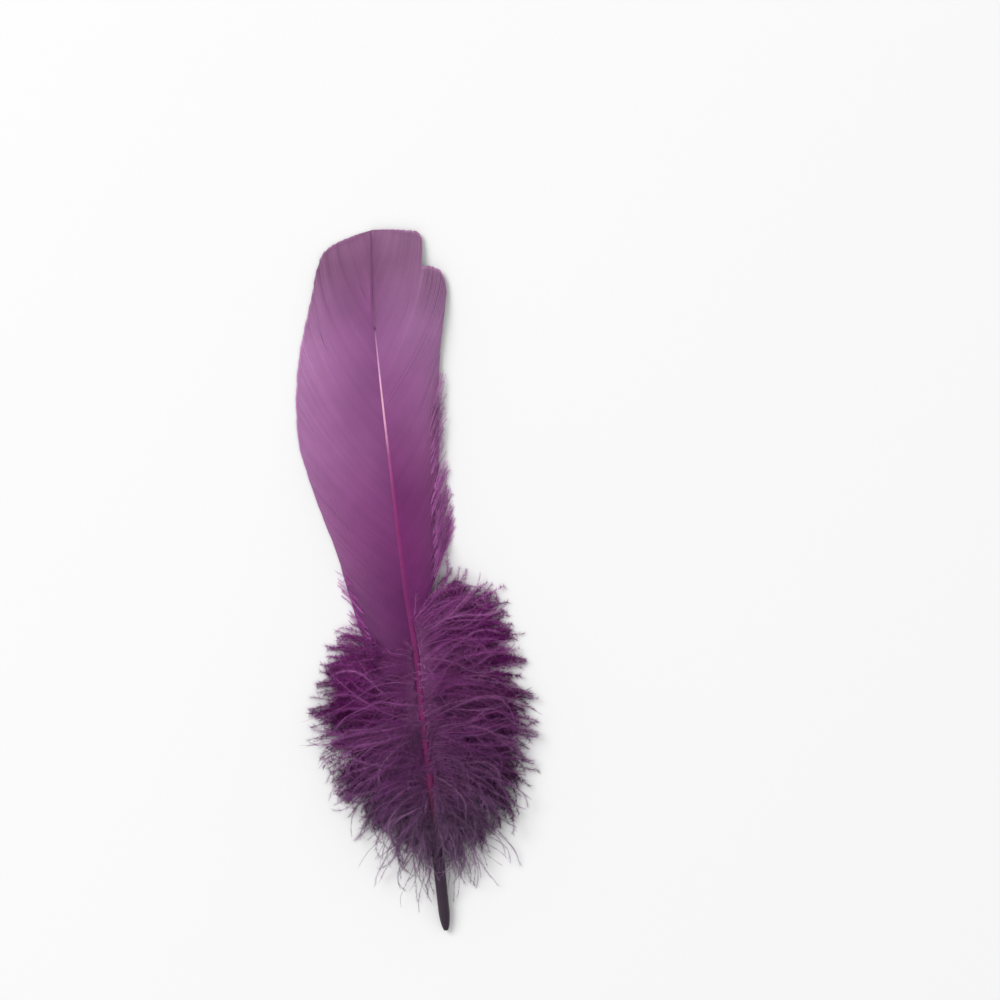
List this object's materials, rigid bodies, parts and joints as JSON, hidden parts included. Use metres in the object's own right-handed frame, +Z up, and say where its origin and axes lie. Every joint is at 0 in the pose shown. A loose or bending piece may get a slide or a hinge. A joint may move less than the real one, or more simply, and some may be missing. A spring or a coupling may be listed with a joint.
{
  "type": "goose quill feather",
  "caption": "Dyed goose quill feather with a bare dark quill, a fluffy base and a broad closed vane, lying flat with its hollow side down.",
  "frame": {"origin": "middle of the footprint, on the surface that the feather lies on", "axes": "+Y from the quill end to the tip, +X to the right seen from above, +Z up"},
  "size_m": [0.056, 0.1761, 0.0074],
  "materials": {
    "quill": "semi-gloss horn, dyed near-black at the quill, magenta and then pale pink up the rachis",
    "vane": "satin web of fine barbs, dyed mauve purple, greyer at the tip",
    "down": "soft matte fluff, dyed deep purple"
  },
  "bodies": {
    "root": {"shaft": "quill", "left_vane": "vane", "right_vane": "vane", "left_down": "down", "right_down": "down"}
  },
  "joints": []
}
